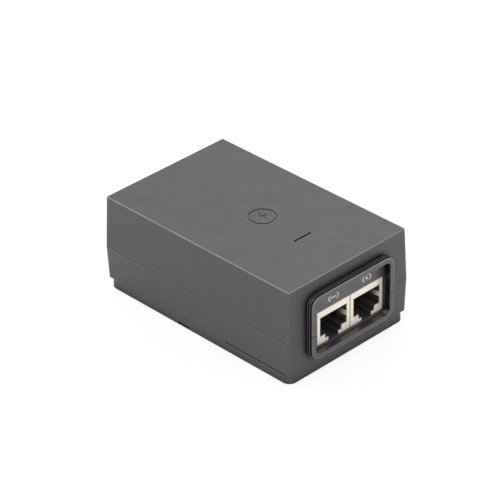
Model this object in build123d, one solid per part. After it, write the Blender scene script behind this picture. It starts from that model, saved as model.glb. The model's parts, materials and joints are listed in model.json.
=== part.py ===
from build123d import *
import os

# Power-over-Ethernet injector: a two-shell plastic housing on a slide-on wall bracket, with two
# shielded RJ45 jacks at the front and a mains inlet at the back. All sizes are in millimetres.
# Frame: origin at the centre of the bracket's underside, +Z up, jacks towards -Y.

# ---------------------------------------------------------------- driving dimensions
WIDTH = 54.0             # housing across X, at the seam
LENGTH = 83.2            # housing along Y, at the seam
HEIGHT = 34.2            # wall or desk to the roof
SEAM_Z = 15.75           # where the two shells meet
SHELL_BOTTOM_Z = 3.25    # underside of the lower shell
WALL = 2.0               # roof thickness, and the side walls at their thinnest
FLOOR = 1.6              # lower shell's floor
TOP_DRAFT_X = 0.86       # how much narrower the roof is than the seam, per side
TOP_DRAFT_Y = 0.39
LOW_DRAFT_X = 0.65       # the same at the lower shell's underside
LOW_DRAFT_Y = 0.07
EDGE_R = 0.45            # roof edges
CORNER_R = 0.6           # upright corners
LOWER_EDGE_R = 0.55      # lower shell's bottom edges
SEAM_GAP = 0.25          # shadow gap between the shells, all around the seam
SEAM_GAP_DEPTH = 0.5
SEAM_LIP_H = 1.3         # inner rim that keys the shells together
SEAM_LIP_T = 1.0
SEAM_LIP_X = 18.0        # half of the stretch at each end that has no such rim
RUN_GAP = 0.05           # running gap between faces that slide or sit together
FIT_GAP = 0.1            # assembly gap around a loose piece

BEZEL_X = -0.45          # centre of the bezel across the front
BEZEL_Z = 17.95
BEZEL_W = 37.4
BEZEL_H = 23.3
BEZEL_R = 4.0
BEZEL_OUT = 2.6          # how far the bezel stands out of the front wall
BEZEL_BAR = 1.9          # width of the bezel's bars
RECESS_R = 2.0
RECESS_SINK = 0.3        # jack panel's face behind the front wall's face
GROOVE_DEPTH = 0.7       # grooves around the bezel's side
RIDGES = ((0.4, 0.7), (1.25, 1.55))   # thin ridges left standing between those grooves
LIP_T = 0.4              # bezel's front lip
LIP_INSET = 0.2          # lip's outline inside the ridges' outline
LIP_EDGE_R = 0.25

LAN_X = -6.2
POE_X = 8.8
JACK_W = 14.85
JACK_TOP_Z = 20.9
JACK_FRONT_SINK = 0.65   # jack shields' front behind the front wall's face
JACK_DEPTH = 15.7
SHEET = 0.25             # shield sheet
PORT_W = 12.0            # plug opening
PORT_TOP_Z = 18.4
PORT_LOW_Z = 11.45
LATCH_W = (7.35, 4.5)    # the two steps below the plug opening
LATCH_Z = (9.85, 8.7)
PORT_INSET = 0.15        # moulding's opening inside the shield's
CAVITY_DEPTH = 13.0
JACK_GAP = 0.175         # window's sides beyond the jacks
STRIP_T = 0.3            # thin strip of the housing in front of the jacks' lower edge
SILL_T = 0.45            # sill that stands out in front of that strip
LEAF_Z = (13.8, 15.6)    # side springs inside the plug opening
LEAF_IN = 0.5            # how far they lean into the opening
LEAF_LENGTH = 4.4
FOOT_Y = -33.5           # shields' solder feet
FOOT_W = 1.2
WIRE_PITCH = 1.016
WIRE_COUNT = 8
WIRE_R = 0.2
SPRING_PIVOT = (-38.4, 19.0)     # Y and Z of the fold that a spring wire bends about
SPRING_END = (-29.5, 15.9)
TAIL_Z = 19.6
TAIL_Y = -26.1

BOARD_TOP_Z = 7.6
BOARD_T = 1.6
BOARD_W = 46.6
BOARD_L = 77.6
SOLDER_Z = 5.2           # lowest point of the solder tails
STANDOFF_X = 22.2        # posts that carry the board
STANDOFF_YS = (-28.0, 0.0, 28.0)
STANDOFF_R = 1.5

SLIT_Y = -21.5           # status light's slit in the roof
SLIT_W = 7.7
SLIT_L = 0.75
SLIT_SINK = 0.5          # light pipe's end below the roof
EMBLEM_Y = -3.8
EMBLEM_R = 4.9           # ring around the roof's bolt sign
EMBLEM_RING_W = 0.85
BOLT_SIZE = 5.8
EMBLEM_DEPTH = 0.2

SCREW_X = 21.0
SCREW_Y = 35.5
BOSS_R = 3.5
SCREW_SHANK_R = 1.4
SCREW_HEAD_R = 2.7
SCREW_TOP_Z = 25.0
SCREW_HEAD_Z = (4.15, 5.95)
COUNTERBORE_TOP_Z = 6.0
CROSS_SLOT = (2.8, 0.7)  # driver slot's length and width

BRACKET_W = 52.6         # tray's foot
BRACKET_L = 82.9
BRACKET_R = 3.0
BRACKET_TAPER = 3.0      # degrees
TRAY_FLOOR = 1.6
RIM_TOP_Z = 2.95
RIM_T = 1.8
PAD_START_Y = -12.7      # the long rims touch the housing from here to the back
PAD_X = 24.4             # half of the stretch of the end rims that does
SLIDE_TRAVEL = 9.0
HOOK_X = 16.0
HOOK_YS = (-24.0, 16.0)
HOOK_STEM = (3.0, 3.2)   # X and Y
HOOK_HEAD = (6.0, 5.0)
HOOK_HEAD_T = 0.8
KEYHOLE_SIDE = 0.2       # slot's clearance around a hook's stem
RIB_X = 6.0              # stiffening ribs along the tray
RIB_T = 1.2
RIB_HALF_L = 38.0
WALL_HOLE_Y = 27.0
WALL_HOLE_R = 2.1
CSK_DEPTH = 0.5

TAB_Y = 6.1              # press tab in the bracket's long side
TAB_L = 5.2
TAB_ROOT_X = -12.5
TONGUE_Z = (1.65, 2.65)
TAB_LOW_Z = 1.05
TAB_TRAVEL = 0.72        # room below the tab
TAB_T = 1.3
TOOTH_X = -20.5
TOOTH_W = 2.6
TOOTH_TOP_Z = 3.55
TOOTH_GROOVE_GAP = 0.5
TAB_GAP = 0.06

INLET_Z = 18.7
INLET_W = 27.0
INLET_H = 20.0
INLET_WELL_W = 24.2
INLET_WELL_H = 16.4
INLET_WELL_DEPTH = 15.5
INLET_SINK = 0.3
INLET_PIN_X = 7.0        # line and neutral from the middle
INLET_EARTH_UP = 4.0     # earth pin above the other two
INLET_PIN = (2.0, 4.0)   # pin section, X and Z

# ---------------------------------------------------------------- worked-out places
FRONT_Y = -LENGTH / 2
BACK_Y = LENGTH / 2
FLOOR_TOP_Z = SHELL_BOTTOM_Z + FLOOR
ROOF_UNDER_Z = HEIGHT - WALL
CAVITY_X = WIDTH / 2 - TOP_DRAFT_X - WALL
CAVITY_Y = LENGTH / 2 - TOP_DRAFT_Y - WALL
PANEL_Y = FRONT_Y + RECESS_SINK
JACK_FRONT_Y = FRONT_Y + JACK_FRONT_SINK
JACK_BACK_Y = JACK_FRONT_Y + JACK_DEPTH
LIP_Y = FRONT_Y - BEZEL_OUT
BOARD_LOW_Z = BOARD_TOP_Z - BOARD_T
PART_Z = BOARD_TOP_Z + RUN_GAP          # underside of parts standing on the board
PANEL_X = (LAN_X - JACK_W / 2 - JACK_GAP, POE_X + JACK_W / 2 + JACK_GAP)
PANEL_TOP_Z = JACK_TOP_Z + 0.15
STRIP_Z = LATCH_Z[1]                    # top of the thin strip
EVERYWHERE_X = (-WIDTH, WIDTH)
EVERYWHERE_Y = (-LENGTH, LENGTH)
SLIT_GAP = 0.1


# ---------------------------------------------------------------- small helpers
def block(x, y, z):
    """Box between two corners, each argument a (low, high) pair."""
    size = (x[1] - x[0], y[1] - y[0], z[1] - z[0])
    return Pos((x[0] + x[1]) / 2, (y[0] + y[1]) / 2, (z[0] + z[1]) / 2) * Box(*size)


def around(middle, width):
    """(low, high) pair of this width around a middle."""
    return (middle - width / 2, middle + width / 2)


def post(x, y, radius, z):
    """Upright cylinder, z a (low, high) pair."""
    return Pos(x, y, (z[0] + z[1]) / 2) * Cylinder(radius, z[1] - z[0])


def standing_box(x, y, width, length, height, radius=0.4):
    """Moulded box standing on the board, with rounded upright edges."""
    outline = RectangleRounded(width, length, radius)
    return Pos(x, y, PART_Z) * extrude(outline, height)


def wire(points, radius, bend=0.8):
    """Round wire along a path with rounded bends."""
    path = FilletPolyline(*points, radius=bend) if len(points) > 2 else Line(*points)
    return sweep(Plane(origin=path @ 0, z_dir=path % 0) * Circle(radius), path=path)


def drafted_block(low, high, z):
    """Block whose width and length change evenly from low to high."""
    return loft([Pos(0, 0, z[0]) * Rectangle(*low), Pos(0, 0, z[1]) * Rectangle(*high)])


def facing_front(x, y, z):
    """Plane facing -Y, its own x along X and its own y along Z."""
    return Plane(origin=(x, y, z), x_dir=(1, 0, 0), z_dir=(0, -1, 0))


def edges_at(shape, z):
    """Edges that lie at one height."""
    return shape.edges().filter_by_position(Axis.Z, z - 0.001, z + 0.001)


# ---------------------------------------------------------------- housing
def bezel():
    """Raised frame around the jacks: a core, thin ridges around its side and a lip in front."""
    def layer(inset, start, end):
        outline = RectangleRounded(BEZEL_W - 2 * inset, BEZEL_H - 2 * inset, BEZEL_R - inset)
        return extrude(facing_front(BEZEL_X, FRONT_Y - start, BEZEL_Z) * outline, end - start)

    lip = layer(LIP_INSET, BEZEL_OUT - LIP_T, BEZEL_OUT)
    lip = fillet(lip.edges().filter_by_position(Axis.Y, LIP_Y - 0.001, LIP_Y + 0.001), LIP_EDGE_R)
    frame = layer(GROOVE_DEPTH, -RECESS_SINK, BEZEL_OUT - LIP_EDGE_R) + lip
    for start, end in RIDGES:
        frame += layer(0, start, end)
    return frame


def recess():
    """Hollow inside the bezel, down to the jack panel."""
    outline = RectangleRounded(BEZEL_W - 2 * BEZEL_BAR, BEZEL_H - 2 * BEZEL_BAR, RECESS_R)
    plane = facing_front(BEZEL_X, PANEL_Y, BEZEL_Z)
    return extrude(plane * outline, BEZEL_OUT + RECESS_SINK + 1)


def jack_window():
    """Opening for the jack pair, with a thin strip left in front of their lower edge."""
    window = block(PANEL_X, (PANEL_Y - 1, -CAVITY_Y + 1), (STRIP_Z, PANEL_TOP_Z))
    pocket = block(PANEL_X, (PANEL_Y + STRIP_T, -CAVITY_Y + 1), (FLOOR_TOP_Z, PANEL_TOP_Z))
    return window + pocket


def inlet_window():
    """Opening in the back wall for the mains inlet."""
    return block(around(0, INLET_W + 0.4), (CAVITY_Y - 1, BACK_Y + 1), around(INLET_Z, INLET_H + 0.4))


def seam_lip(gap):
    """Inner rim that keys the shells together; gap grows it for the mating rebate."""
    reach = SEAM_LIP_T + gap
    outer = Rectangle(2 * (CAVITY_X + reach), 2 * (CAVITY_Y + reach))
    inner = Rectangle(2 * CAVITY_X, 2 * CAVITY_Y)
    rim = Pos(0, 0, SEAM_Z - gap) * extrude(outer - inner, SEAM_LIP_H + 2 * gap)
    rim -= block((-SEAM_LIP_X - gap, SEAM_LIP_X + gap), EVERYWHERE_Y, (0, HEIGHT))
    if gap == 0:
        boss_y = (SCREW_Y - BOSS_R - 1.5, LENGTH)
        bosses = block(EVERYWHERE_X, boss_y, (0, HEIGHT))
        rim -= bosses + mirror(bosses, Plane.XZ)
    return rim


def shadow_gap():
    """Thin band cut around the upper shell's lower edge and around the bezel."""
    z = (SEAM_Z, SEAM_Z + SEAM_GAP)
    depth = SEAM_GAP_DEPTH
    core = block(around(0, WIDTH - 2 * depth), around(0, LENGTH - 2 * depth), z)
    bezel_y = (LIP_Y + depth, PANEL_Y + depth)
    core += block(around(BEZEL_X, BEZEL_W - 2 * (GROOVE_DEPTH + depth)), bezel_y, z)
    return block(EVERYWHERE_X, EVERYWHERE_Y, z) - core


def screw_places():
    """Middles of the four housing screws."""
    return [(x, y) for x in (-SCREW_X, SCREW_X) for y in (-SCREW_Y, SCREW_Y)]


def drafted_shell(low, high, z, outer_z, outer_r):
    """Solid block of one shell: drafted sides, rounded uprights and a rounded outer edge."""
    shell = drafted_block(low, high, z)
    upright = [edge for edge in shell.edges() if abs((edge % 0.5).Z) > 0.9]
    shell = fillet(upright, CORNER_R)
    return fillet(edges_at(shell, outer_z), outer_r)


def top_shell():
    """Upper half of the housing and of the bezel."""
    low = (WIDTH, LENGTH)
    high = (WIDTH - 2 * TOP_DRAFT_X, LENGTH - 2 * TOP_DRAFT_Y)
    shell = drafted_shell(low, high, (SEAM_Z, HEIGHT), HEIGHT, EDGE_R)
    shell += bezel() & block(EVERYWHERE_X, EVERYWHERE_Y, (SEAM_Z + RUN_GAP, HEIGHT))
    shell -= block(around(0, 2 * CAVITY_X), around(0, 2 * CAVITY_Y), (SEAM_Z - 1, ROOF_UNDER_Z))
    shell -= recess()
    shell -= jack_window()
    shell -= inlet_window()
    shell -= seam_lip(FIT_GAP)
    shell -= shadow_gap()
    for x, y in screw_places():
        shell += post(x, y, BOSS_R, (SEAM_Z, ROOF_UNDER_Z + 0.5))
        shell -= post(x, y, SCREW_SHANK_R + RUN_GAP, (SEAM_Z - 1, SCREW_TOP_Z + 0.5))
    slit = Pos(0, SLIT_Y) * SlotOverall(SLIT_W, SLIT_L)
    shell -= Pos(0, 0, ROOF_UNDER_Z - 1) * extrude(slit, WALL + 2)
    shell -= Pos(0, EMBLEM_Y, HEIGHT - EMBLEM_DEPTH) * extrude(emblem(), 1)
    return shell


def emblem():
    """Plain bolt sign in a ring, sunk in the roof."""
    tip_x, tip_y, waist_x, waist_y, notch_x = (k * BOLT_SIZE for k in (0.19, 0.5, 0.36, 0.08, 0.03))
    bolt = Polygon((tip_x, tip_y), (-waist_x, -waist_y), (-notch_x, -waist_y),
                   (-tip_x, -tip_y), (waist_x, waist_y), (notch_x, waist_y), align=None)
    return Circle(EMBLEM_R) - Circle(EMBLEM_R - EMBLEM_RING_W) + bolt


def bottom_shell():
    """Lower half of the housing, with the bracket's keyhole slots and the board's posts."""
    low = (WIDTH - 2 * LOW_DRAFT_X, LENGTH - 2 * LOW_DRAFT_Y)
    high = (WIDTH, LENGTH)
    shell = drafted_shell(low, high, (SHELL_BOTTOM_Z, SEAM_Z), SHELL_BOTTOM_Z, LOWER_EDGE_R)
    shell += bezel() & block(EVERYWHERE_X, EVERYWHERE_Y, (0, SEAM_Z))
    shell -= block(around(0, 2 * CAVITY_X), around(0, 2 * CAVITY_Y), (FLOOR_TOP_Z, SEAM_Z + 1))
    shell += seam_lip(0)
    shell -= recess()
    shell += recess() & block(EVERYWHERE_X, (PANEL_Y - SILL_T, PANEL_Y), (0, STRIP_Z))
    shell -= jack_window()
    shell -= inlet_window()
    for x, y in screw_places():
        shell += post(x, y, BOSS_R, (FLOOR_TOP_Z - 0.5, SEAM_Z - RUN_GAP))
        shell -= post(x, y, SCREW_SHANK_R + 0.2, (0, SEAM_Z + 1))
        shell -= post(x, y, SCREW_HEAD_R + 0.3, (0, COUNTERBORE_TOP_Z))
    for x in (-STANDOFF_X, STANDOFF_X):
        for y in STANDOFF_YS:
            shell += post(x, y, STANDOFF_R, (FLOOR_TOP_Z - 0.5, BOARD_LOW_Z))
    for y in HOOK_YS:
        shell -= keyhole(-HOOK_X, y)
        shell -= keyhole(HOOK_X, y)
    reach = TOOTH_W / 2 + TOOTH_GROOVE_GAP
    groove_y = (TAB_Y - reach, TAB_Y + SLIDE_TRAVEL + reach)
    shell -= block(around(TOOTH_X, 2 * reach), groove_y, (0, TOOTH_TOP_Z + TOOTH_GROOVE_GAP))
    return shell


def keyhole(x, y):
    """Slot that holds a bracket hook's stem at rest and lets its head out after the slide."""
    z = (0, FLOOR_TOP_Z + 1)
    stem_w, stem_l = HOOK_STEM
    narrow_y = (y - stem_l / 2 - KEYHOLE_SIDE, y + SLIDE_TRAVEL)
    narrow = block(around(x, stem_w + 2 * KEYHOLE_SIDE), narrow_y, z)
    wide = block(around(x, HOOK_HEAD[0] + 0.6), around(y + SLIDE_TRAVEL, HOOK_HEAD[1] + 1.2), z)
    return narrow + wide


def housing_screws():
    """Four self-tapping screws, driven up from under the lower shell."""
    screws = []
    for x, y in screw_places():
        low, high = SCREW_HEAD_Z
        screw = post(x, y, SCREW_HEAD_R, (low, high)) + post(x, y, SCREW_SHANK_R, (low, SCREW_TOP_Z))
        for size in (CROSS_SLOT, CROSS_SLOT[::-1]):
            screw -= block(around(x, size[0]), around(y, size[1]), (low - 0.1, low + 0.85))
        screws.append(screw)
    return Compound(children=screws)


# ---------------------------------------------------------------- wall bracket
def mounting_bracket():
    """Shallow tray with four T-hooks and two wall-screw holes."""
    foot = RectangleRounded(BRACKET_W, BRACKET_L, BRACKET_R)
    pad_top = SHELL_BOTTOM_Z - RUN_GAP
    tray = extrude(foot, pad_top, taper=BRACKET_TAPER)
    inside = RectangleRounded(BRACKET_W - 2 * RIM_T - 0.3, BRACKET_L - 2 * RIM_T - 0.3, BRACKET_R - 1)
    tray -= Pos(0, 0, TRAY_FLOOR) * extrude(inside, pad_top)
    pads = block(EVERYWHERE_X, (PAD_START_Y, LENGTH), (0, HEIGHT))
    pads += block(around(0, 2 * PAD_X), EVERYWHERE_Y, (0, HEIGHT))
    tray -= block(EVERYWHERE_X, EVERYWHERE_Y, (RIM_TOP_Z, HEIGHT)) - pads
    tray = chamfer(edges_at(tray, 0), 0.2)
    for x in (-HOOK_X, HOOK_X):
        for y in HOOK_YS:
            tray += hook(x, y)
    for x in (-RIB_X, RIB_X):
        tray += block(around(x, RIB_T), around(0, 2 * RIB_HALF_L), (TRAY_FLOOR - 0.2, RIM_TOP_Z - 0.2))
    for y in (-WALL_HOLE_Y, WALL_HOLE_Y):
        tray -= post(0, y, WALL_HOLE_R, (-1, TRAY_FLOOR + 1))
        flare = Cone(WALL_HOLE_R, WALL_HOLE_R + CSK_DEPTH, CSK_DEPTH)
        tray -= Pos(0, y, TRAY_FLOOR - CSK_DEPTH / 2) * flare
    rim_x = -BRACKET_W / 2 + RIM_T
    slot_y = around(TAB_Y, TAB_L + 2 * TAB_GAP)
    tray -= block((rim_x - 0.1, TAB_ROOT_X), slot_y, (-1, HEIGHT))
    tray -= block((-WIDTH, rim_x), slot_y, (TAB_LOW_Z - TAB_TRAVEL, HEIGHT))
    return tray


def hook(x, y):
    """T-shaped hook on the tray."""
    under_head = FLOOR_TOP_Z + FIT_GAP
    stem = block(around(x, HOOK_STEM[0]), around(y, HOOK_STEM[1]), (TRAY_FLOOR - 0.2, under_head))
    head = block(around(x, HOOK_HEAD[0]), around(y, HOOK_HEAD[1]), (under_head, under_head + HOOK_HEAD_T))
    return stem + chamfer(edges_at(head, under_head + HOOK_HEAD_T), 0.25)


def bracket_latch():
    """Springy tongue with a press tab in the bracket's side and a catch tooth on top."""
    y = around(TAB_Y, TAB_L)
    outer_x = -BRACKET_W / 2 + 0.1
    tongue = block((outer_x, TAB_ROOT_X - FIT_GAP), y, TONGUE_Z)
    tab = block((outer_x, outer_x + TAB_T), y, (TAB_LOW_Z, SHELL_BOTTOM_Z - RUN_GAP))
    tooth = block(around(TOOTH_X, TOOTH_W), around(TAB_Y, TOOTH_W), (TONGUE_Z[1] - 0.2, TOOTH_TOP_Z))
    tooth = chamfer(edges_at(tooth, TOOTH_TOP_Z), 0.4)
    latch = tongue + tab
    latch = fillet([edge for edge in latch.edges() if edge.center().X < outer_x + 0.01], 0.2)
    return latch + tooth


# ---------------------------------------------------------------- jacks
def port_opening(x, y, shrink, low_z):
    """Stepped plug opening, y a (low, high) pair; shrink brings every side in."""
    top, low, step = PORT_TOP_Z - shrink, PORT_LOW_Z + shrink, LATCH_Z[0] + shrink
    opening = block(around(x, PORT_W - 2 * shrink), y, (low, top))
    opening += block(around(x, LATCH_W[0] - 2 * shrink), y, (step, low + 0.01))
    return opening + block(around(x, LATCH_W[1] - 2 * shrink), y, (low_z, step + 0.01))


def side_leaf():
    """Spring leaf bent back from the right edge of the plug opening, then curling out at its tip."""
    elbow = (-LEAF_IN, 0.75 * LEAF_LENGTH)
    tip = (-LEAF_IN + 0.3, LEAF_LENGTH)
    path = Polyline((SHEET / 2, SHEET / 2), elbow, tip)
    return Pos(0, 0, LEAF_Z[0]) * extrude(trace(path, SHEET), LEAF_Z[1] - LEAF_Z[0])


def jack_shield(x):
    """Folded sheet around one jack: front frame, top, sides and back, with side springs."""
    outer_z = (BOARD_TOP_Z, JACK_TOP_Z)
    shield = block(around(x, JACK_W), (JACK_FRONT_Y, JACK_BACK_Y), outer_z)
    front_edges = [edge for edge in shield.edges()
                   if edge.center().Z > BOARD_TOP_Z + 1 and edge.center().Y < JACK_BACK_Y - 0.1]
    shield = fillet(front_edges, 0.2)
    inner_x = around(x, JACK_W - 2 * SHEET)
    shield -= block(inner_x, (JACK_FRONT_Y + SHEET, JACK_BACK_Y - SHEET), (0, JACK_TOP_Z - SHEET))
    shield -= port_opening(x, (JACK_FRONT_Y - 1, JACK_FRONT_Y + SHEET + 0.01), 0, 0)
    right = side_leaf()
    for side, leaf in ((-1, mirror(right, Plane.YZ)), (1, right)):
        shield += Pos(x + side * PORT_W / 2, JACK_FRONT_Y, 0) * leaf
        foot_x = x + side * (JACK_W - SHEET) / 2
        shield += block(around(foot_x, SHEET), around(FOOT_Y, FOOT_W), (SOLDER_Z, BOARD_TOP_Z + 0.5))
    return shield


def wire_xs(x):
    """The spring wires' places across one jack."""
    return [x + (i - (WIRE_COUNT - 1) / 2) * WIRE_PITCH for i in range(WIRE_COUNT)]


def jack_insert(x):
    """Black moulding inside one shield, with the plug cavity and the wire slots."""
    front = JACK_FRONT_Y + SHEET + RUN_GAP
    back = JACK_BACK_Y - SHEET - RUN_GAP
    width = JACK_W - 2 * SHEET - 2 * RUN_GAP
    insert = block(around(x, width), (front, back), (PART_Z, JACK_TOP_Z - SHEET - RUN_GAP))
    insert -= port_opening(x, (front - 1, front + CAVITY_DEPTH), PORT_INSET, LATCH_Z[1] + PORT_INSET)
    leaf_room = (LEAF_Z[0] - 0.2, LEAF_Z[1] + 0.2)
    insert -= block(around(x, PORT_W + 0.6), (front - 1, front + LEAF_LENGTH), leaf_room)
    for wire_x in wire_xs(x):
        slot = around(wire_x, 2 * WIRE_R + 0.2)
        insert -= block(slot, (-39.3, back + 1), (PORT_TOP_Z - 0.4, TAIL_Z + 0.3))
        insert -= block(slot, (TAIL_Y - 0.5, back + 1), (0, TAIL_Z + 0.3))
    return insert


def contact_springs(x):
    """Eight spring wires that hang into the plug cavity."""
    start, end = SPRING_PIVOT, SPRING_END
    wires = [wire([(wire_x, *start), (wire_x, *end)], WIRE_R) for wire_x in wire_xs(x)]
    return Compound(children=[w + Pos(w_x, *start) * Sphere(WIRE_R)
                              for w, w_x in zip(wires, wire_xs(x))])


def contact_tails(x):
    """Fixed ends of the eight wires: along the roof of the moulding, then down into the board."""
    return Compound(children=[
        wire([(wire_x, -38.3, TAIL_Z), (wire_x, TAIL_Y, TAIL_Z), (wire_x, TAIL_Y, SOLDER_Z)], WIRE_R)
        for wire_x in wire_xs(x)])


# ---------------------------------------------------------------- board and status light
def circuit_board():
    """Board with notched corners for the screw bosses, and holes for the jacks' tails."""
    z = (BOARD_LOW_Z, BOARD_TOP_Z)
    board = block(around(0, BOARD_W), around(0, BOARD_L), z)
    for x, y in screw_places():
        board -= post(x, y, BOSS_R + 0.4, (0, 10))
        corner_x = (x - 4, x + 8) if x > 0 else (x - 8, x + 4)
        corner_y = (y, y + 8) if y > 0 else (y - 8, y)
        board -= block(corner_x, corner_y, (0, 10))
    for x in (LAN_X, POE_X):
        for wire_x in wire_xs(x):
            board -= post(wire_x, TAIL_Y, WIRE_R + 0.12, (0, 10))
    for x in (LAN_X - JACK_W / 2, (LAN_X + POE_X) / 2, POE_X + JACK_W / 2):
        board -= block(around(x, 1.2), around(FOOT_Y, FOOT_W + 0.4), (0, 10))
    return board


def status_led():
    """Surface-mount light under the light pipe."""
    base = block(around(0, 2.0), around(SLIT_Y, 1.6), (PART_Z, PART_Z + 0.5))
    return base + Pos(0, SLIT_Y, PART_Z + 0.5) * extrude(RectangleRounded(1.4, 1.2, 0.2), 0.4)


def light_pipe():
    """Flat blade that carries the light up to the slit in the roof."""
    blade = SlotOverall(SLIT_W - 2 * SLIT_GAP, SLIT_L - 2 * SLIT_GAP)
    waist_z = 22.0
    pipe = Pos(0, SLIT_Y, waist_z) * extrude(blade, HEIGHT - SLIT_SINK - waist_z)
    pipe += loft([Pos(0, SLIT_Y, 9.2) * Rectangle(2.6, 1.6), Pos(0, SLIT_Y, waist_z) * Rectangle(7.0, 0.5)])
    flange = block(around(0, 10.0), around(SLIT_Y, 3.0), (ROOF_UNDER_Z - 1.2, ROOF_UNDER_Z - RUN_GAP))
    return pipe + flange


# ---------------------------------------------------------------- mains inlet
def inlet_well():
    """Outline of the socket well: a rectangle with its two upper corners cut off."""
    half_w, half_h, cut = INLET_WELL_W / 2, INLET_WELL_H / 2, 4.0
    return Polygon((-half_w, -half_h), (half_w, -half_h), (half_w, half_h - cut),
                   (half_w - cut, half_h), (-half_w + cut, half_h), (-half_w, half_h - cut), align=None)


def inlet_plane(y):
    """Plane facing +Y at the inlet, its own y along Z."""
    return Plane(origin=(0, y, INLET_Z), x_dir=(-1, 0, 0), z_dir=(0, 1, 0))


def pin_places():
    """X and Z of the three inlet pins."""
    low = INLET_Z - INLET_EARTH_UP / 2
    return [(-INLET_PIN_X, low), (INLET_PIN_X, low), (0, low + INLET_EARTH_UP)]


def ac_inlet_body():
    """Three-pin mains inlet moulding, held in the back wall by its inner flange."""
    face_y = BACK_Y - INLET_SINK
    well_y = face_y - INLET_WELL_DEPTH
    outline = RectangleRounded(INLET_W, INLET_H, 1.0)
    body = extrude(inlet_plane(well_y - 1.6) * outline, INLET_WELL_DEPTH + 1.6)
    flange = extrude(inlet_plane(CAVITY_Y - 2.0) * RectangleRounded(30.4, 21.4, 1.0), 1.9)
    body += flange
    body -= extrude(inlet_plane(well_y) * inlet_well(), INLET_WELL_DEPTH + 1)
    for x, z in pin_places():
        body -= block(around(x, INLET_PIN[0] + 0.1), (well_y - 3, well_y + 1), around(z, INLET_PIN[1] + 0.1))
    rim = [e for e in body.edges() if e.center().Y > face_y - 0.001]
    return chamfer(rim, 0.3)


def ac_inlet_pins():
    """Line, neutral and earth blades, each with a narrow soldering end."""
    well_y = BACK_Y - INLET_SINK - INLET_WELL_DEPTH
    pins = []
    for x, z in pin_places():
        blade = block(around(x, INLET_PIN[0]), (well_y - 1.8, BACK_Y - 5), around(z, INLET_PIN[1]))
        tip = [e for e in blade.edges() if e.center().Y > BACK_Y - 5.001]
        blade = chamfer(tip, 0.5)
        pins.append(blade + block(around(x, 0.8), (well_y - 5.5, well_y - 1.7), around(z, 3.0)))
    return Compound(children=pins)


def mains_leads():
    """Insulated wires from the inlet's soldering ends down to the board."""
    tab_y = BACK_Y - INLET_SINK - INLET_WELL_DEPTH - 5.5
    leads = []
    for x, z in pin_places():
        start = (x, tab_y - 0.4, z)
        end = (x * 0.55, tab_y - 1.0, PART_Z)
        path = Spline(start, end, tangents=((0, -1, 0), (0, 0, -1)), tangent_scalars=(0.4, 0.6))
        leads.append(sweep(Plane(origin=path @ 0, z_dir=path % 0) * Circle(0.8), path=path))
    return Compound(children=leads)


# ---------------------------------------------------------------- power stage, mains side
def fuse():
    """Small radial fuse."""
    return fillet(standing_box(-10.5, 15.6, 8.5, 4.0, 8.0).edges().group_by(Axis.Z)[-1], 0.4)


def disc_part(x, y, z, radius, thick):
    """Coated disc standing on edge, facing Y, with two wires down to the board."""
    disc = Pos(x, y, z) * Rot(90, 0, 0) * Cylinder(radius, thick)
    disc = fillet(disc.edges().filter_by(GeomType.CIRCLE), thick * 0.35)
    for side in (-1, 1):
        disc += post(x + side * radius * 0.55, y, 0.35, (PART_Z, z))
    return disc


def varistor():
    """Surge absorber disc."""
    return disc_part(-0.6, 15.4, PART_Z + 6.2, 4.8, 3.4)


def x_capacitor():
    """Boxed capacitor across the mains."""
    body = standing_box(19.4, 24.6, 8.0, 13.5, 13.0, 0.5)
    return fillet(body.edges().group_by(Axis.Z)[-1], 0.4)


CHOKE_X = -19.5
CHOKE_Y = 23.0
CHOKE_R = (4.4, 7.2)     # ferrite ring's inner and outer radius
CHOKE_W = 5.6


def choke_ring(inner, outer, width):
    """Ring standing on edge beside the inlet, facing X."""
    ring = Cylinder(outer, width) - Cylinder(inner, width + 1)
    return Pos(CHOKE_X, CHOKE_Y, PART_Z + 8.6) * Rot(0, 90, 0) * ring


def common_mode_choke_core():
    """Ferrite ring of the mains choke."""
    return choke_ring(*CHOKE_R, CHOKE_W)


def common_mode_choke_windings():
    """Two wound halves around the ring, apart at the top and bottom."""
    coat = 0.9
    slack = 0.03
    inner, outer = CHOKE_R
    shell = choke_ring(inner - coat, outer + coat, CHOKE_W + 2 * coat)
    shell -= choke_ring(inner - slack, outer + slack, CHOKE_W + 2 * slack)
    gap = block((-WIDTH, WIDTH), around(CHOKE_Y, 3.6), (0, HEIGHT))
    return shell - gap


def bridge_rectifier():
    """In-line diode bridge with a chamfered corner."""
    x, y = 11.6, 15.8
    body = standing_box(x, y, 13.0, 3.6, 10.5)
    body -= Pos(x + 6.5, y, PART_Z + 10.5) * Rot(0, 45, 0) * Box(3, 6, 3)
    return body


def capacitor_can(x, y, radius, height):
    """Electrolytic can with a crimp ring near its foot and a sunk, scored top."""
    can = post(x, y, radius, (PART_Z, PART_Z + height))
    can = fillet(can.edges().filter_by(GeomType.CIRCLE), 0.5)
    crimp = Torus(radius + 0.15, 0.55)
    can -= Pos(x, y, PART_Z + 2.2) * crimp
    can -= post(x, y, radius - 1.0, (PART_Z + height - 0.2, PART_Z + height + 1))
    for turn in (0, 60, 120):
        score = Rot(0, 0, turn) * Box(1.6 * radius, 0.3, 0.4)
        can -= Pos(x, y, PART_Z + height - 0.2) * score
    return can


def bulk_capacitor():
    """High-voltage storage capacitor."""
    return capacitor_can(-15.4, 5.2, 7.5, 21.0)


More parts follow.
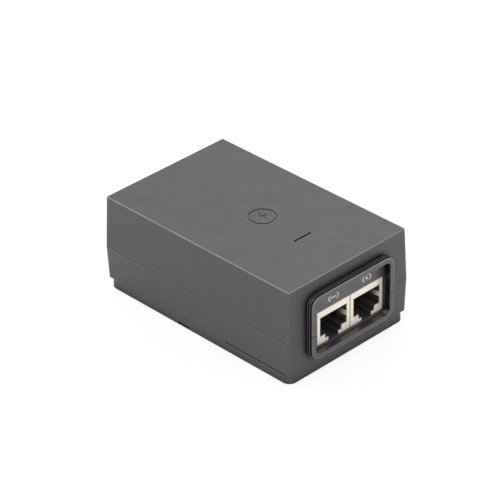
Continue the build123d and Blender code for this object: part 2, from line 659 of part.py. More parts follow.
def heatsink(y, length):
    """Upright plate with two feet on the board and a screw hole."""
    plate = block((21.0, 22.6), y, (PART_Z + 1.0, 27.5))
    plate = fillet([e for e in plate.edges() if e.center().Z > 27.4 and abs(e.center().X - 21.8) < 0.1], 1.5)
    for foot_y in (y[0] + 1.5, y[0] + length - 1.5):
        plate += block((21.0, 22.6), around(foot_y, 2.0), (PART_Z, PART_Z + 1.2))
    middle = y[0] + length / 2
    return plate - Pos(21.8, middle, 24.0) * Rot(0, 90, 0) * Cylinder(1.55, 4)


def primary_heatsink():
    """Heat sink of the switching transistor."""
    return heatsink((2.2, 15.6), 13.4)


def secondary_heatsink():
    """Heat sink of the output diode."""
    return heatsink((-15.0, -0.6), 14.4)


def tab_package(y):
    """Power device with a metal tab against its heat sink and three legs down to the board."""
    tab_x = (21.0 - RUN_GAP - 1.3, 21.0 - RUN_GAP)
    device = block(tab_x, around(y, 10.0), (11.6, 27.0))
    device -= Pos(20, y, 24.0) * Rot(0, 90, 0) * Cylinder(1.8, 4)
    device += block((tab_x[1] - 4.4, tab_x[1]), around(y, 10.0), (11.6, 20.6))
    for offset in (-2.54, 0, 2.54):
        device += block(around(tab_x[0] - 0.9, 0.5), around(y + offset, 0.8), (PART_Z, 12.0))
    return device


def switching_transistor():
    """Mains-side switch."""
    return tab_package(8.9)


def rectifier_diode():
    """Output diode."""
    return tab_package(-7.8)


def heatsink_screws():
    """Two pan-head screws that hold the devices to their heat sinks."""
    screws = []
    for y in (8.9, -7.8):
        head = Pos(19.65 - 1.0 - RUN_GAP, y, 24.0) * Rot(0, 90, 0) * Cylinder(2.6, 2.0)
        shank = Pos(21.3, y, 24.0) * Rot(0, 90, 0) * Cylinder(1.45, 3.6)
        slot = Pos(17.6, y, 24.0) * Box(1.4, 3.4, 0.7)
        screws.append(head + shank - slot)
    return Compound(children=screws)


# ---------------------------------------------------------------- transformer
COIL_X = 3.0
COIL_Y = 4.2
CORE_Z = (9.4, 27.4)


def transformer_core():
    """Ferrite E-core pair: three upright legs joined top and bottom."""
    middle = sum(CORE_Z) / 2
    core = block(around(COIL_X, 20.0), around(COIL_Y, 6.0), CORE_Z)
    for side in (-1, 1):
        core -= block(around(COIL_X + side * 5.2, 4.0), around(COIL_Y, 8.0), around(middle, 11.6))
    return core


def transformer_bobbin():
    """Moulding around the middle leg, with two flanges and a pin foot."""
    middle = sum(CORE_Z) / 2
    bobbin = block(around(COIL_X, 7.6), around(COIL_Y, 7.4), around(middle, 11.2))
    for z in (middle - 5.2, middle + 5.2):
        bobbin += block(around(COIL_X, 14.0), around(COIL_Y, 15.0), around(z, 0.8))
    bobbin -= block(around(COIL_X, 6.5), around(COIL_Y, 6.1), around(middle, 20))
    for side in (-1, 1):
        leg_y = around(COIL_Y + side * 6.2, 2.4)
        bobbin += block(around(COIL_X, 14.0), leg_y, (PART_Z, middle - 5.0))
    return bobbin


def transformer_winding():
    """Taped winding around the bobbin."""
    middle = sum(CORE_Z) / 2
    coil = Pos(COIL_X, COIL_Y, middle - 4.7) * extrude(RectangleRounded(13.2, 14.0, 3.0), 9.4)
    return coil - block(around(COIL_X, 7.8), around(COIL_Y, 7.6), around(middle, 20))


# ---------------------------------------------------------------- power stage, output side
def output_capacitors():
    """Two low-voltage storage capacitors."""
    return Compound(children=[capacitor_can(-17.6, -9.0, 5.0, 16.0), capacitor_can(-6.6, -10.2, 5.0, 16.0)])


def output_inductor():
    """Drum-core filter inductor."""
    x, y = 4.6, -10.6
    drum = post(x, y, 4.5, (PART_Z, PART_Z + 1.4)) + post(x, y, 4.5, (PART_Z + 8.6, PART_Z + 10.0))
    return drum + post(x, y, 3.9, (PART_Z + 1.2, PART_Z + 8.8))


def safety_capacitor():
    """Disc capacitor bridging the mains and output sides."""
    return disc_part(12.0, -5.4, PART_Z + 5.0, 3.4, 2.8)


def optocoupler():
    """Four-leg feedback coupler."""
    body = standing_box(9.6, -20.6, 4.6, 6.4, 3.4, 0.3)
    for side in (-1, 1):
        for offset in (-1.27, 1.27):
            leg_x = around(9.6 + offset, 0.6)
            leg_y = around(-20.6 + side * 3.6, 0.8)
            body += block(leg_x, leg_y, (PART_Z, PART_Z + 1.8))
    return body


def controller_ic():
    """Eight-leg supply controller."""
    x, y = 17.4, -20.6
    body = block(around(x, 4.9), around(y, 3.9), (PART_Z + 0.1, PART_Z + 1.6))
    for side in (-1, 1):
        for leg in (-1.905, -0.635, 0.635, 1.905):
            body += block(around(x + leg, 0.42), around(y + side * 2.4, 1.1), (PART_Z, PART_Z + 0.6))
    return body


def network_magnetics():
    """Data-line transformer module with a leg row on each side."""
    x, y = -14.6, -19.6
    body = standing_box(x, y, 12.7, 7.2, 5.6, 0.3)
    for side in (-1, 1):
        for leg in range(8):
            leg_x = x + (leg - 3.5) * 1.27
            body += block(around(leg_x, 0.5), around(y + side * 4.0, 1.2), (PART_Z, PART_Z + 0.5))
    return body


# ---------------------------------------------------------------- the pieces
PIECES = {
    "top_shell": top_shell,
    "bottom_shell": bottom_shell,
    "housing_screws": housing_screws,
    "mounting_bracket": mounting_bracket,
    "bracket_latch": bracket_latch,
    "lan_jack_shield": lambda: jack_shield(LAN_X),
    "lan_jack_insert": lambda: jack_insert(LAN_X),
    "lan_contacts": lambda: contact_springs(LAN_X),
    "lan_contact_tails": lambda: contact_tails(LAN_X),
    "poe_jack_shield": lambda: jack_shield(POE_X),
    "poe_jack_insert": lambda: jack_insert(POE_X),
    "poe_contacts": lambda: contact_springs(POE_X),
    "poe_contact_tails": lambda: contact_tails(POE_X),
    "circuit_board": circuit_board,
    "status_led": status_led,
    "light_pipe": light_pipe,
    "ac_inlet_body": ac_inlet_body,
    "ac_inlet_pins": ac_inlet_pins,
    "mains_leads": mains_leads,
    "fuse": fuse,
    "varistor": varistor,
    "x_capacitor": x_capacitor,
    "common_mode_choke_core": common_mode_choke_core,
    "common_mode_choke_windings": common_mode_choke_windings,
    "bridge_rectifier": bridge_rectifier,
    "bulk_capacitor": bulk_capacitor,
    "primary_heatsink": primary_heatsink,
    "secondary_heatsink": secondary_heatsink,
    "switching_transistor": switching_transistor,
    "rectifier_diode": rectifier_diode,
    "heatsink_screws": heatsink_screws,
    "transformer_core": transformer_core,
    "transformer_bobbin": transformer_bobbin,
    "transformer_winding": transformer_winding,
    "output_capacitors": output_capacitors,
    "output_inductor": output_inductor,
    "safety_capacitor": safety_capacitor,
    "optocoupler": optocoupler,
    "controller_ic": controller_ic,
    "network_magnetics": network_magnetics,
}

os.makedirs("parts", exist_ok=True)
for name, make in PIECES.items():
    export_step(make(), f"parts/{name}.step")
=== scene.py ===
import json
import math

import bmesh
import bpy
from mathutils import Matrix, Vector


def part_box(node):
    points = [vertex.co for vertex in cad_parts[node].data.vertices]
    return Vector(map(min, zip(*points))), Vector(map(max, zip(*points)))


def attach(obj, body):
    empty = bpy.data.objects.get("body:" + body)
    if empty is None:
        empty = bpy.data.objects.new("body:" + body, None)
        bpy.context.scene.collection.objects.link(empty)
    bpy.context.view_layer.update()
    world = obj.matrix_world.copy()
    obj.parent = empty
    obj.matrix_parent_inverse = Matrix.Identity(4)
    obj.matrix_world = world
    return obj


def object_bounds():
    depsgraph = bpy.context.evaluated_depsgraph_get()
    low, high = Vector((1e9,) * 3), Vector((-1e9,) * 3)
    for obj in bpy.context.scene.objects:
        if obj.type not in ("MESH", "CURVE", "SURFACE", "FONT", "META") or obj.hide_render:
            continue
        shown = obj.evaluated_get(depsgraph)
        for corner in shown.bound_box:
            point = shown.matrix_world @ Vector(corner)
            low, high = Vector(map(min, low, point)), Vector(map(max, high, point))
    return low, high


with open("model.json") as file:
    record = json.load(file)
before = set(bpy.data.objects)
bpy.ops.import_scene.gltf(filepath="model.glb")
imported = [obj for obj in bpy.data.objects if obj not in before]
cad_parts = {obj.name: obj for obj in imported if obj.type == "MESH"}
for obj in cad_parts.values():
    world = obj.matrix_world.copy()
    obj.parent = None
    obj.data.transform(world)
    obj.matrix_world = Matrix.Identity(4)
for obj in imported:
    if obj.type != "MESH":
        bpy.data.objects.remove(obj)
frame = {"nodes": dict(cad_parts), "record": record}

# Looks of the power-over-Ethernet injector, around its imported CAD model. Blender works in metres here;
# the sizes below are in millimetres unless they say otherwise.
CAD_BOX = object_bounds()
MM = 0.001

# ---------------------------------------------------------------- driving values
CAMERA_AZIMUTH = -44.173     # degrees, 0 looks along +Y
CAMERA_ELEVATION = 32.165
CAMERA_ROLL = -0.997
CAMERA_DISTANCE = 848.7      # along the view axis from the frame's origin
CAMERA_SHIFT = (-1.786, 16.899)   # across and up from the origin
CAMERA_LENS = 188.1
SENSOR = 36.0
CAMERA_REACH = 20            # m, nothing farther away is drawn

WORLD_LIGHT = 1.25           # what the surroundings give the object; the camera sees them white
# name, azimuth and elevation in degrees, distance and size in metres, watts
SOFTBOXES = (("back_left", -149, 45, 1.2, 0.34, 2.1),
             ("back_right", 123, 45, 1.2, 0.2, 1.3),
             ("front", -20, 30, 1.4, 0.9, 1.0))
FLOOR_HALF = 2.5             # m, from the middle of the floor to its sides
FLOOR_DROP = 0.05            # from the bracket's underside down to the floor
PAPER_GLOW = 0.85            # how far the open floor is seen white whatever falls on it

POLISH_BEHIND_LIP = 2.25     # from the bezel's lip back to where its polish ends
PANEL_BEHIND_LIP = 2.9       # from the bezel's lip back to the jack panel

# printed port symbols
MARK_HEIGHT = 2.1
MARK_STROKE = 0.42
MARK_THICKNESS = 0.02
MARK_LIFT = 1.95             # from the jacks' top edge up to the print
MARK_LEFT = 0.4              # from the jack's middle to the print's middle
MARK_ARM = 0.75              # how far an angle bracket's arms reach sideways
NETWORK_HALF_W = 2.45
POWERED_HALF_W = 2.1
DOT_RADIUS = 0.32
DOT_PITCH = 0.9

# moulded plastic; what is counted in grains is a multiple of the material's own grain_mm, and a tone
# is a multiple of its plain colour
PATCH_MM = 9.0               # wide, faint patches
PATCH_TONES = (0.97, 1.03)
SPECKLE_GRAINS = 1.6         # fine speckle all over
SPECKLE_TONE = 0.9
SPECK_GRAINS = 1.1           # sparse pale specks
SPECK_TONE = 1.7
SPECK_STRENGTH = 0.45
RUB_AND_HIGHLIGHT_REACH_MM = 0.6           # ridges and edges up to this wide are rubbed and get a painted highlight
RUB_AND_HIGHLIGHT_PATCH_MM = 1.8           # the rubbing and the painted highlight come and go over this length
# lightening of rubbed edges, most of it a painted highlight
RUB_AND_HIGHLIGHT_TONE = 5.0
RUB_POLISH = 0.28            # roughness lost on fully rubbed or highlit edges
# colour of the painted shade in gaps, as a share of the plain colour
GAP_SHADE_TONE = 0.06
GAP_REACH_MM = 2.2           # gaps and inner corners narrower than this get painted shade
GLOSS_PATCH_MM = 4.0
FINE_GRAINS = 0.35           # finer grain on top of the eroded cells
FINE_DEPTH = 0.5             # its depth as a share of the cells' depth

OCCLUSION_SAMPLES = 8        # per shading point, for edges and gaps
BEVEL_SAMPLES = 6


# ---------------------------------------------------------------- shader helpers
def start_material(name):
    """New material, its node tree, its main shader and its place coordinates."""
    material = bpy.data.materials.new(name)
    material.use_nodes = True
    tree = material.node_tree
    shader = tree.nodes["Principled BSDF"]
    place = tree.nodes.new("ShaderNodeTexCoord").outputs["Object"]
    return material, tree, shader, place


def feed(tree, socket, value):
    """Sets an input to a value, or links another node's output to it."""
    if isinstance(value, bpy.types.NodeSocket):
        tree.links.new(value, socket)
    else:
        socket.default_value = value


def noise(tree, place, size_mm, detail=2.0, stretch=(1, 1, 1)):
    """Noise whose features are about size_mm across; stretch pulls it along an axis."""
    mapping = tree.nodes.new("ShaderNodeMapping")
    feed(tree, mapping.inputs["Vector"], place)
    mapping.inputs["Scale"].default_value = [1 / (size_mm * MM * s) for s in stretch]
    texture = tree.nodes.new("ShaderNodeTexNoise")
    feed(tree, texture.inputs["Vector"], mapping.outputs["Vector"])
    texture.inputs["Scale"].default_value = 1.0
    texture.inputs["Detail"].default_value = detail
    return texture.outputs["Fac"]


def cells(tree, place, size_mm):
    """Rounded cells about size_mm across, as left by spark erosion in a mould."""
    texture = tree.nodes.new("ShaderNodeTexVoronoi")
    texture.feature = "SMOOTH_F1"
    feed(tree, texture.inputs["Vector"], place)
    texture.inputs["Scale"].default_value = 1 / (size_mm * MM)
    return texture.outputs["Distance"]


def spread(tree, value, low, high, start=0.3, end=0.7):
    """Maps a value's start..end onto low..high; noise stays mostly within 0.3..0.7."""
    node = tree.nodes.new("ShaderNodeMapRange")
    feed(tree, node.inputs["Value"], value)
    for key, number in (("From Min", start), ("From Max", end), ("To Min", low), ("To Max", high)):
        node.inputs[key].default_value = number
    return node.outputs["Result"]


def combine(tree, operation, first, second):
    """Arithmetic on two values."""
    node = tree.nodes.new("ShaderNodeMath")
    node.operation = operation
    feed(tree, node.inputs[0], first)
    feed(tree, node.inputs[1], second)
    return node.outputs[0]


def blend_colours(tree, factor, first, second):
    """Mixes two colours."""
    node = tree.nodes.new("ShaderNodeMix")
    node.data_type = "RGBA"
    feed(tree, node.inputs["Factor"], factor)
    first_input, second_input, colour_output = 6, 7, 2    # the node's sockets for colours
    for index, colour in ((first_input, first), (second_input, second)):
        plain = not isinstance(colour, bpy.types.NodeSocket)
        feed(tree, node.inputs[index], (*colour, 1) if plain else colour)
    return node.outputs[colour_output]


def relief(tree, height, depth_mm, strength=1.0, below=None):
    """Bump from a height value, depth_mm from its lowest to its highest, on top of another bump."""
    node = tree.nodes.new("ShaderNodeBump")
    node.inputs["Strength"].default_value = strength
    node.inputs["Distance"].default_value = depth_mm * MM
    feed(tree, node.inputs["Height"], height)
    if below is not None:
        feed(tree, node.inputs["Normal"], below)
    return node.outputs["Normal"]


def soft_normal(tree, radius_mm):
    """Surface normal as if every edge had this radius."""
    node = tree.nodes.new("ShaderNodeBevel")
    node.samples = BEVEL_SAMPLES
    node.inputs["Radius"].default_value = radius_mm * MM
    return node.outputs["Normal"]


def outer_edge(tree, reach_mm):
    """0 on flat faces, towards 1 on outer edges and on ridges thinner than reach_mm."""
    node = tree.nodes.new("ShaderNodeAmbientOcclusion")
    node.samples = OCCLUSION_SAMPLES
    node.inside = True
    node.only_local = True
    node.inputs["Distance"].default_value = reach_mm * MM
    return spread(tree, node.outputs["AO"], low=1, high=0, start=0.55, end=0.95)


def top_edge(tree):
    """0 on faces square to an axis, towards 1 on rounded edges that face upwards."""
    split = tree.nodes.new("ShaderNodeSeparateXYZ")
    feed(tree, split.inputs[0], tree.nodes.new("ShaderNodeNewGeometry").outputs["Normal"])
    x, y, z = (combine(tree, "ABSOLUTE", output, 0) for output in split.outputs)
    squareness = combine(tree, "MAXIMUM", combine(tree, "MAXIMUM", x, y), z)
    slant = spread(tree, squareness, low=1, high=0, start=0.8, end=0.985)
    upward = spread(tree, split.outputs["Z"], low=0, high=1, start=0, end=0.3)
    return combine(tree, "MULTIPLY", slant, upward)


def open_air(tree, reach_mm, contrast=1.0):
    """1 on open faces, towards 0 in gaps, grooves and inner corners narrower than reach_mm."""
    node = tree.nodes.new("ShaderNodeAmbientOcclusion")
    node.samples = OCCLUSION_SAMPLES
    node.inputs["Distance"].default_value = reach_mm * MM
    return combine(tree, "POWER", node.outputs["AO"], contrast)


def along(tree, place, axis, start_mm, end_mm):
    """Runs from 0 to 1 between two places along one axis of the object."""
    split = tree.nodes.new("ShaderNodeSeparateXYZ")
    feed(tree, split.inputs[0], place)
    return spread(tree, split.outputs[axis], 0, 1, start_mm * MM, end_mm * MM)


def between(tree, place, axis, low_mm, high_mm, soft_mm=0.1):
    """1 between two places along one axis of the object, 0 outside them."""
    rising = along(tree, place, axis, low_mm, low_mm + soft_mm)
    return combine(tree, "MULTIPLY", rising, along(tree, place, axis, high_mm, high_mm - soft_mm))


def scaled(colour, factor):
    """Colour made lighter or darker."""
    return tuple(min(1.0, channel * factor) for channel in colour)


# ---------------------------------------------------------------- materials
def moulded_plastic(name, colour, roughness, grain_mm=0.35, grain_depth=0.012, wear_and_highlight=0.2, glint=0.0,
                    gap_contrast=1.6, edge_mm=0.08, zones=None):
    """Moulded plastic: spark-eroded grain, faint mottling, rubbed edges with a painted highlight, and painted
    shade in gaps.
    """
    material, tree, shader, place = start_material(name)

    # Colour: faint patches, a fine speckle and sparse pale specks.
    patches = spread(tree, noise(tree, place, PATCH_MM, detail=3.0), 0, 1)
    base = blend_colours(tree, patches, *(scaled(colour, tone) for tone in PATCH_TONES))
    speckle = noise(tree, place, SPECKLE_GRAINS * grain_mm, detail=3.0)
    flecked = blend_colours(tree, spread(tree, speckle, 0, 1, 0.25, 0.75), scaled(colour, SPECKLE_TONE), base)
    specks = noise(tree, place, SPECK_GRAINS * grain_mm, detail=1.0)
    grained = blend_colours(tree, spread(tree, specks, 0, SPECK_STRENGTH, 0.6, 0.8), flecked,
                            scaled(colour, SPECK_TONE))

    # Rubbed edges with a painted highlight: thin ridges everywhere are rubbed and lightened, and rounded
    # edges that face up get a painted highlight.
    edges = combine(tree, "MULTIPLY", outer_edge(tree, RUB_AND_HIGHLIGHT_REACH_MM), wear_and_highlight)
    edges = combine(tree, "MAXIMUM", edges, combine(tree, "MULTIPLY", top_edge(tree), glint))
    rubbed_and_highlit = combine(tree, "MULTIPLY", edges, spread(tree, noise(tree, place, RUB_AND_HIGHLIGHT_PATCH_MM), 0.7, 1.0))
    worn_and_highlit = blend_colours(tree, rubbed_and_highlit, grained, scaled(colour, RUB_AND_HIGHLIGHT_TONE))

    # Painted shade where little light reaches the surface, with the zones' painted light and shade, and the
    # gloss.
    lit = open_air(tree, GAP_REACH_MM, gap_contrast)
    gloss = noise(tree, place, GLOSS_PATCH_MM, detail=4.0)
    gloss = spread(tree, gloss, roughness - 0.03, roughness + 0.04)
    if zones is not None:
        matt, tone = zones(tree, place)
        lit = combine(tree, "MULTIPLY", lit, tone)
        gloss = combine(tree, "MULTIPLY", gloss, spread(tree, matt, 0.5, 1.0, 0, 1))
    # The base colour runs to the painted gap shade where the light is low.
    feed(tree, shader.inputs["Base Color"], blend_colours(tree, lit, scaled(colour, GAP_SHADE_TONE), worn_and_highlit))
    polish = combine(tree, "MULTIPLY", rubbed_and_highlit, RUB_POLISH)
    feed(tree, shader.inputs["Roughness"], combine(tree, "SUBTRACT", gloss, polish))
    feed(tree, shader.inputs["Specular IOR Level"], combine(tree, "MULTIPLY", lit, 0.5))

    # Relief: eroded cells with a finer grain on them.
    grain = relief(tree, cells(tree, place, grain_mm), grain_depth, 0.8, soft_normal(tree, edge_mm))
    fine = noise(tree, place, grain_mm * FINE_GRAINS, detail=1.0)
    feed(tree, shader.inputs["Normal"], relief(tree, fine, grain_depth * FINE_DEPTH, 0.6, grain))
    return material


def bezel_zones(tree, place):
    """How matt (0 on the polished bezel, 1 behind it) the bezel and its recess are, and how much painted
    shade or painted light they get.
    """
    lip = CAD_BOX[0].y / MM
    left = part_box("lan_jack_shield")[0].x / MM
    right, _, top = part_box("poe_jack_shield")[1] / MM
    polish_end = lip + POLISH_BEHIND_LIP
    matt = along(tree, place, "Y", polish_end, polish_end + 0.1)

    # Painted shade: the recess's right wall is darkened far below its other walls.
    wall_depth = between(tree, place, "Y", lip + 0.3, lip + 2.5)
    wall_width = between(tree, place, "X", right - 0.9, right + 1.2, soft_mm=0.8)
    right_wall = combine(tree, "MULTIPLY", wall_depth, wall_width)

    # Painted light: the panel around the jacks is made a little lighter; its zone ends above its own top
    # edge.
    panel_y, zone_rise = lip + PANEL_BEHIND_LIP, 7
    panel_depth = between(tree, place, "Y", panel_y - 0.15, panel_y + 0.3)
    panel_width = between(tree, place, "X", left - 0.6, right + 0.6)
    panel = combine(tree, "MULTIPLY", panel_depth, panel_width)
    panel = combine(tree, "MULTIPLY", panel, between(tree, place, "Z", 0, top + zone_rise))

    wall_painted_shade, panel_painted_light = 0.85, 0.6
    tone = combine(tree, "SUBTRACT", 1.0, combine(tree, "MULTIPLY", right_wall, wall_painted_shade))
    return matt, combine(tree, "ADD", tone, combine(tree, "MULTIPLY", panel, panel_painted_light))


def worked_metal(name, colour, roughness, streak, dull=0.12, depth=0.003):
    """Plated or drawn metal: fine streaks, cloudy gloss and slightly dulled patches."""
    material, tree, shader, place = start_material(name)
    shader.inputs["Metallic"].default_value = 1.0
    cloud_mm, streak_mm, edge_mm = 3.0, 0.12, 0.06
    clouds = spread(tree, noise(tree, place, cloud_mm, detail=4.0), 0, 1)
    tint = blend_colours(tree, clouds, scaled(colour, 1 - dull), colour)
    streaks = noise(tree, place, streak_mm, stretch=streak)
    streaked = blend_colours(tree, spread(tree, streaks, 0, 0.25), tint, scaled(colour, 0.75))
    feed(tree, shader.inputs["Base Color"], streaked)
    gloss = spread(tree, streaks, roughness - 0.05, roughness + 0.10)
    haze = spread(tree, clouds, 0, 0.06, 0, 1)
    feed(tree, shader.inputs["Roughness"], combine(tree, "ADD", gloss, haze))
    feed(tree, shader.inputs["Normal"], relief(tree, streaks, depth, 0.6, soft_normal(tree, edge_mm)))
    return material


def satin_plate(name, colour):
    """Satin tin-nickel plate over folded sheet: even and warm, with faint rolling marks, and painted shade in
    its gaps and as it goes in.
    """
    material, tree, shader, place = start_material(name)
    shader.inputs["Metallic"].default_value = 0.25
    rolling_mm, cloud_mm, edge_mm = 0.10, 4.0, 0.06
    rolling = noise(tree, place, rolling_mm, stretch=(1, 1, 8))
    clouds = spread(tree, noise(tree, place, cloud_mm, detail=3.0), 0, 1)
    tint = blend_colours(tree, clouds, scaled(colour, 0.96), scaled(colour, 1.03))
    marked = blend_colours(tree, spread(tree, rolling, 0, 0.08), tint, scaled(colour, 0.8))

    # Painted shade: the leaves and side walls darken as they go in.
    front_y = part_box("lan_jack_shield")[0].y / MM
    inside = along(tree, place, "Y", front_y + 0.4, front_y + 2.5)
    shaded = blend_colours(tree, inside, marked, scaled(colour, 0.12))

    # Painted shade: dark lines in the gaps where the two frames meet and along their top edge.
    middle = (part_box("lan_jack_shield")[1].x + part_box("poe_jack_shield")[0].x) / 2 / MM
    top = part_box("lan_jack_shield")[1].z / MM
    seam_half_w = 0.22
    seam_shade = combine(tree, "MAXIMUM", between(tree, place, "X", middle - seam_half_w, middle + seam_half_w),
                    along(tree, place, "Z", top - 0.2, top - 0.1))
    # Painted shade in narrow gaps, darkest along the seams, runs to a dark brown.
    gap_reach, gap_contrast, gap_shade_colour = 0.5, 0.7, (0.06, 0.04, 0.025)
    lit = combine(tree, "MULTIPLY", open_air(tree, gap_reach, gap_contrast),
                  spread(tree, seam_shade, 1.0, 0.25, 0, 1))
    feed(tree, shader.inputs["Base Color"], blend_colours(tree, lit, gap_shade_colour, shaded))
    feed(tree, shader.inputs["Roughness"], spread(tree, rolling, 0.38, 0.46))
    feed(tree, shader.inputs["Normal"], relief(tree, rolling, 0.002, 0.5, soft_normal(tree, edge_mm)))
    return material


def smoked_guide(name):
    """Smoked clear plastic of the status light."""
    material, tree, shader, place = start_material(name)
    smoke_colour, dust_colour = (0.012, 0.012, 0.014), (0.05, 0.05, 0.055)
    dust_mm, smear_mm, ripple_mm, ripple_depth, edge_mm = 0.5, 1.2, 0.8, 0.01, 0.1
    dust = spread(tree, noise(tree, place, dust_mm, detail=3.0), 0, 0.3)
    feed(tree, shader.inputs["Base Color"], blend_colours(tree, dust, smoke_colour, dust_colour))
    feed(tree, shader.inputs["Roughness"], spread(tree, noise(tree, place, smear_mm), 0.12, 0.3))
    shader.inputs["Coat Weight"].default_value = 0.4
    ripple = relief(tree, noise(tree, place, ripple_mm), ripple_depth, 0.5, soft_normal(tree, edge_mm))
    feed(tree, shader.inputs["Normal"], ripple)
    return material


def solder_mask(name):
    """Green board: traces under the mask, a woven glass texture and a satin gloss."""
    material, tree, shader, place = start_material(name)
    trace_colour, mask_colour, weave_colour = (0.012, 0.075, 0.035), (0.03, 0.13, 0.06), (0.02, 0.1, 0.05)
    brick_mm, weave_mm = 6, 0.5
    brick = tree.nodes.new("ShaderNodeTexBrick")
    feed(tree, brick.inputs["Vector"], place)
    brick.inputs["Scale"].default_value = 1 / (brick_mm * MM)
    brick.inputs["Mortar Size"].default_value = 0.06
    base = blend_colours(tree, brick.outputs["Fac"], trace_colour, mask_colour)
    weave = noise(tree, place, weave_mm, detail=1.0)
    woven = blend_colours(tree, spread(tree, weave, 0, 0.3), base, weave_colour)
    feed(tree, shader.inputs["Base Color"], woven)
    feed(tree, shader.inputs["Roughness"], spread(tree, weave, 0.3, 0.45))
    traces = relief(tree, brick.outputs["Fac"], 0.03, 0.7, relief(tree, weave, 0.01))
    feed(tree, shader.inputs["Normal"], traces)
    return material


def mark_ink():
    """Pale pad-printed ink with thin spots."""
    material, tree, shader, place = start_material("mark_ink")
    full_colour, thin_colour = (0.56, 0.56, 0.60), (0.38, 0.38, 0.41)
    thin_mm, ripple_mm, ripple_depth = 0.25, 0.2, 0.004
    thin = spread(tree, noise(tree, place, thin_mm), 0, 0.35)
    feed(tree, shader.inputs["Base Color"], blend_colours(tree, thin, full_colour, thin_colour))
    feed(tree, shader.inputs["Roughness"], spread(tree, thin, 0.5, 0.65, 0, 1))
    feed(tree, shader.inputs["Normal"], relief(tree, noise(tree, place, ripple_mm), ripple_depth))
    return material


def floor_material():
    """White studio paper, mostly seen as evenly lit away from the object, and dark right under it."""
    material, tree, shader, place = start_material("studio_paper")
    patch_mm, shadow_reach_mm = 60.0, 5.0
    tone = spread(tree, noise(tree, place, patch_mm), 0, 1)
    feed(tree, shader.inputs["Base Color"], blend_colours(tree, tone, (0.93,) * 3, (0.95,) * 3))
    shader.inputs["Roughness"].default_value = 0.9
    shader.inputs["Specular IOR Level"].default_value = 0.1
    glow = tree.nodes.new("ShaderNodeEmission")
    seen = tree.nodes.new("ShaderNodeLightPath").outputs["Is Camera Ray"]
    mix = tree.nodes.new("ShaderNodeMixShader")
    clear_of_object = spread(tree, open_air(tree, shadow_reach_mm), 0, PAPER_GLOW, 0.05, 0.45)
    feed(tree, mix.inputs["Fac"], combine(tree, "MULTIPLY", seen, clear_of_object))
    tree.links.new(shader.outputs[0], mix.inputs[1])
    tree.links.new(glow.outputs[0], mix.inputs[2])
    tree.links.new(mix.outputs[0], tree.nodes["Material Output"].inputs["Surface"])
    return material


GREY = (0.0425, 0.0385, 0.0445)
BLACK = (0.016, 0.016, 0.017)

PLASTICS = {
    "housing_plastic": dict(colour=GREY, roughness=0.48, wear_and_highlight=0.3, glint=1.0, gap_contrast=1.2,
                            edge_mm=0.2, zones=bezel_zones),
    "bracket_plastic": dict(colour=scaled(GREY, 0.88), roughness=0.52, wear_and_highlight=0.5, glint=0.6,
                            gap_contrast=1.1, edge_mm=0.15),
    "insert_plastic": dict(colour=scaled(BLACK, 1.8), roughness=0.55, grain_mm=0.2, grain_depth=0.006,
                           gap_contrast=0.5),
    "inlet_plastic": dict(colour=scaled(BLACK, 1.3), roughness=0.40, grain_mm=0.3, grain_depth=0.008),
    "lamp": dict(colour=(0.80, 0.78, 0.68), roughness=0.25, grain_mm=0.4, grain_depth=0.004, wear_and_highlight=0.1),
    "lead_insulation": dict(colour=(0.03, 0.05, 0.25), roughness=0.4, grain_mm=0.6, grain_depth=0.006),
    "fuse_plastic": dict(colour=(0.05, 0.035, 0.03), roughness=0.45),
    "disc_coating": dict(colour=(0.03, 0.12, 0.45), roughness=0.3, grain_mm=0.8, grain_depth=0.02),
    "capacitor_box": dict(colour=(0.60, 0.48, 0.08), roughness=0.45, wear_and_highlight=0.1),
    "ferrite": dict(colour=(0.035, 0.034, 0.036), roughness=0.5, grain_mm=0.25, grain_depth=0.02, wear_and_highlight=0.4),
    "winding_tape": dict(colour=(0.75, 0.55, 0.05), roughness=0.35, grain_mm=1.2, wear_and_highlight=0.1),
    "bobbin_plastic": dict(colour=scaled(BLACK, 1.6), roughness=0.5),
    "can_sleeve": dict(colour=(0.02, 0.025, 0.05), roughness=0.25, grain_mm=0.9, grain_depth=0.006),
    "package_resin": dict(colour=scaled(BLACK, 1.4), roughness=0.5, grain_mm=0.25, grain_depth=0.01),
}

# streak: how far the marks are drawn out along X, Y and Z
METALS = {
    "contact_gold": dict(colour=(0.90, 0.68, 0.30), roughness=0.18, streak=(1, 8, 1)),
    "pin_brass": dict(colour=(0.80, 0.77, 0.68), roughness=0.22, streak=(1, 10, 1)),
    "screw_steel": dict(colour=(0.62, 0.62, 0.64), roughness=0.3, streak=(1, 1, 6)),
    "copper_wire": dict(colour=(0.62, 0.25, 0.10), roughness=0.3, streak=(1, 10, 1), dull=0.2, depth=0.02),
    "heatsink_metal": dict(colour=(0.78, 0.79, 0.80), roughness=0.35, streak=(1, 12, 1)),
}


def dress_cad_nodes():
    """Gives every CAD node the procedural look of its slot."""
    looks = {"shield_metal": satin_plate("shield_metal", (0.76, 0.69, 0.59)),
             "light_guide": smoked_guide("light_guide"),
             "board_laminate": solder_mask("board_laminate")}
    for slot, values in PLASTICS.items():
        looks[slot] = moulded_plastic(slot, **values)
    for slot, values in METALS.items():
        looks[slot] = worked_metal(slot, **values)
    for part in frame["record"]["subparts"]:
        mesh = frame["nodes"][part["node"]].data
        mesh.materials.clear()
        mesh.materials.append(looks[part["material_slot"]])


# ---------------------------------------------------------------- printed port symbols
def chevron(tip_x, reach):
    """Angle bracket, its tip at tip_x and its arms reaching to one side."""
    thick = math.copysign(MARK_STROKE, reach)
    end = tip_x + reach
    return [(tip_x, MARK_HEIGHT / 2), (end, 0), (end + thick, 0), (tip_x + thick, MARK_HEIGHT / 2),
            (end + thick, MARK_HEIGHT), (end, MARK_HEIGHT)]


